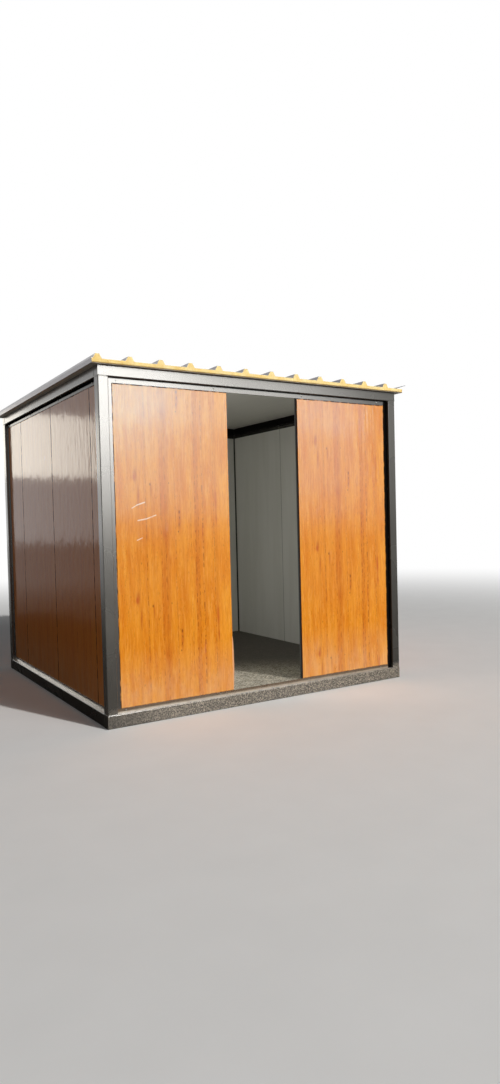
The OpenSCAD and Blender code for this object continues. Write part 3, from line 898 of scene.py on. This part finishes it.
def border_tacks(material):
    """Short tacks that hold the angle borders to the tubes, in the corner between flange and tube."""
    shape = Shape()
    levels = (BEAM_TOP, HEAD_LEVEL)
    for wall in WALLS:
        across, outward, (_, face), sides = seen_from_wall(wall, "rails_" + wall)
        level_runs = (across, sides, UP, levels, 7.0, sides[0])
        upright_runs = (UP, levels, across, sides, 5.0, face)
        for along, (low, high), beside, edges, rate, shift in (level_runs, upright_runs):
            count = round((high - low) / TACK_PITCH)
            for step in range(1, count):
                middle = low + (high - low) * step / count + TACK_SCATTER * math.sin(rate * step + shift)
                for edge, turn in zip(edges, (1, -1)):
                    start = outward * face + along * (middle - TACK_LENGTH / 2) + beside * edge
                    end = start + along * TACK_LENGTH
                    weld_bead(shape, start, end, outward + beside * turn, TACK_WIDTH, TACK_RISE)
    shape.piece("border_tacks", material)


HEAD_POINTS = 24
# Rings of a screw's head in millimetres: height, radius or half width across flats, and if it is a hexagon
HEAD_RINGS = ((-0.8, 6.4, False), (0.5, 6.4, False), (0.9, 6.0, False), (1.2, 4.9, False),
              (1.3, 3.9, True), (4.3, 3.9, True), (4.9, 3.354, True))


def screw(shape, middle, outward, turn, size=1.0):
    """A self-drilling screw's head: pressed washer, hexagon with chamfered corners."""
    first = outward.orthogonal().normalized()
    second = outward.cross(first)
    rings = []
    for rise, radius, hexagon in HEAD_RINGS:
        ring = []
        for i in range(HEAD_POINTS):
            angle = math.tau * i / HEAD_POINTS
            reach = radius * MM * size
            if hexagon:
                reach /= math.cos(angle % (math.pi / 3) - math.pi / 6)
            angle += turn
            ring.append(middle + outward * (rise * MM * size)
                        + first * (reach * math.cos(angle)) + second * (reach * math.sin(angle)))
        rings.append(ring)
    shape.loft(rings)


SCREW_PLACES = (0.026, 0.327, 0.647, 0.956)
SCREW_SCATTER = 6 * MM
SCREW_SMOOTH = 25


def border_screws(material):
    """Screws through the sill and head flanges into the panels, at uneven hand-set places."""
    shape = Shape()
    for wall in WALLS:
        across, outward, (_, face), (left, right) = seen_from_wall(wall, "rails_" + wall)
        for index, part in enumerate(SCREW_PLACES):
            for level in ((BEAM_TOP + SILL_TOP) / 2, (HEAD_LEVEL + HEAD_EDGE) / 2):
                nudge = SCREW_SCATTER * math.sin(9.0 * index + 4.0 * level + 3.0 * left)
                middle = outward * face + across * (left + (right - left) * part + nudge) + UP * level
                screw(shape, middle, outward, index + level)
    shape.piece("border_screws", material, SCREW_SMOOTH)


def roof_profile(name):
    """Top outline of a roof panel's foam, as rising x places and the height at each."""
    points = {}
    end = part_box(name)[0].y
    for vertex in cad[name].data.vertices:
        if abs(vertex.co.y - end) < 0.1 * MM:
            key = round(vertex.co.x, 5)
            points[key] = max(points.get(key, 0.0), vertex.co.z)
    places = sorted(points)
    return places, [points[place] for place in places]


FOAM_PANELS = (1, 2, 3)
FOAM_STEP = 4 * MM
FOAM_ROWS = 14
FOAM_INSIDE = 0.5 * MM
FOAM_SMOOTH = 60


def foam_end(shape, name, side):
    """The knife-cut end of a roof panel's foam, standing a few millimetres proud and uneven."""
    low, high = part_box(name)
    end = low.y if side < 0 else high.y
    places, heights = roof_profile(name)
    count = round((high.x - low.x) / FOAM_STEP)
    stops = sorted(set(places) | {low.x + (high.x - low.x) * i / count for i in range(count + 1)})
    stops = [x for i, x in enumerate(stops) if i == 0 or x - stops[i - 1] > 0.2 * MM]
    bottom = low.z
    front, back = [], []
    for x in stops:
        top = float(numpy.interp(x, places, heights))
        for row in range(FOAM_ROWS + 1):
            part = row / FOAM_ROWS
            z = bottom + (top - bottom) * part
            rim = min(1.0, 8 * part, 8 * (1 - part))
            place = Vector((x, side, z))
            rough = 1.6 + 1.0 * wobble(place, 28) + 0.7 * wobble(place, 90) + 0.5 * wobble(place, 240)
            ragged = 0.9 * wobble(place, 55) * (part - 0.5)
            front.append(Vector((x, end + side * MM * rough * (0.35 + 0.65 * rim), z + ragged * MM)))
            back.append(Vector((x, end - side * FOAM_INSIDE, bottom + (top - 0.3 * MM - bottom) * part)))
    shape.slab(front, back, FOAM_ROWS + 1, flip=side > 0)


def foam_cuts(material):
    for label, side in (("front", -1), ("back", 1)):
        shape = Shape()
        for index in FOAM_PANELS:
            foam_end(shape, f"roof_core_{index}", side)
        shape.piece("foam_cut_" + label, material, FOAM_SMOOTH)


ROOF_SCREW_SIZE = 0.85
SHEET_RISE = 1.6 * MM
LAP_RISE = 1.3 * MM
LAP_REACH = 0.05


def roof_screws(material):
    """Screws through the rib tops into the front and back beams, one on every rib."""
    shape = Shape()
    for index in FOAM_PANELS:
        places, heights = roof_profile(f"roof_core_{index}")
        top = max(heights)
        level = [x for x, z in zip(places, heights) if z > top - 0.1 * MM]
        crests = [(level[i] + level[i + 1]) / 2 for i in range(0, len(level) - 1, 2)]
        for crest in crests:
            lapped = index < FOAM_PANELS[-1] and crest > level[-1] - LAP_REACH
            z = top + SHEET_RISE + (LAP_RISE if lapped else 0.0)
            for inward, edge in ((1, FRAME_LOW.y), (-1, FRAME_HIGH.y)):
                inset = POST_SIDE / 2 + SCREW_SCATTER * math.sin(9 * crest)
                screw(shape, Vector((crest, edge + inward * inset, z)), UP, crest * 11, ROOF_SCREW_SIZE)
    shape.piece("roof_screws", material, SCREW_SMOOTH)


LIP_LOW = 0.14
LIP_HIGH = 0.57
LIP_REACH = 9 * MM
LIP_ROOT = 4 * MM
LIP_CURL = 5 * MM
LIP_SKIN = 0.9 * MM
LIP_INSET = 8 * MM
LIP_STEPS = 60
LIP_COLUMNS = 8
LIP_SMOOTH = 60


def bent_lip(material):
    """The torn edge of the outer skin that stands out from the left side of the doorway."""
    shape = Shape()
    low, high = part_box("front_panel_left")
    root = high.x - LIP_INSET - LIP_ROOT
    grids = []
    for thickness in (0.0, LIP_SKIN):
        grid = []
        for i in range(LIP_STEPS + 1):
            part = i / LIP_STEPS
            z = LIP_LOW + (LIP_HIGH - LIP_LOW) * part
            swell = math.sin(math.pi * part) ** 0.6 * (0.85 + 0.25 * wobble(Vector((0, 0, z)), 14))
            for j in range(LIP_COLUMNS + 1):
                out = j / LIP_COLUMNS
                curl = out ** 2 * (LIP_CURL * swell) + 0.8 * MM * wobble(Vector((out, 0, z)), 18) * out
                x = root + (LIP_ROOT + LIP_REACH * swell) * out
                grid.append(Vector((x, low.y - 0.3 * MM - curl - thickness, z)))
        grids.append(grid)
    shape.slab(*grids, LIP_COLUMNS + 1)
    shape.piece("bent_skin_lip", material, LIP_SMOOTH)


def dress(name, material):
    """Puts a material on every slot of a CAD node."""
    for place in cad[name].material_slots:
        place.material = material


make_camera()
make_world()
make_sun()
make_softboxes()
make_room_lamp()
make_floor()

# Each paint with its tone, its roughness, the dust at its foot and the weight of its lacquer
frame_paint = paint_material("frame_paint", (58, 56, 52), 0.24, 0.80, 1.0)
angle_paint = paint_material("angle_paint", (56, 54, 51), 0.24, 0.45, 1.0)
joist_paint = paint_material("joist_paint", (92, 84, 78), 0.45, 0.9, 0.0)
weld_paint = paint_material("weld_paint", (74, 74, 68), 0.30, 0.5, 0.6)
foam = foam_material()
screw_metal = metal_material("screw_metal", (104, 102, 98), (168, 166, 160), 0.7, 0.34)
skin_metal = metal_material("skin_metal", (232, 160, 104), (244, 190, 142), 0.1, 0.40)
finishes = {"post_": frame_paint, "beam_": frame_paint, "rails_": angle_paint, "stiles_": angle_paint,
            "roof_core_": foam, "roof_sheet_": roof_material(), "roof_liner_": ceiling_material(),
            "floor_board_": floor_board_material(), "floor_joists": joist_paint}
print_group = oak_print()
for node_name in cad:
    if "_panel_" in node_name:
        dress(node_name, panel_material(node_name, print_group))
    for start, finish in finishes.items():
        if node_name.startswith(start):
            dress(node_name, finish)

corner_welds(weld_paint)
border_tacks(weld_paint)
border_screws(screw_metal)
foam_cuts(foam)
roof_screws(screw_metal)
bent_lip(skin_metal)

bpy.context.scene.view_settings.view_transform = "Standard"
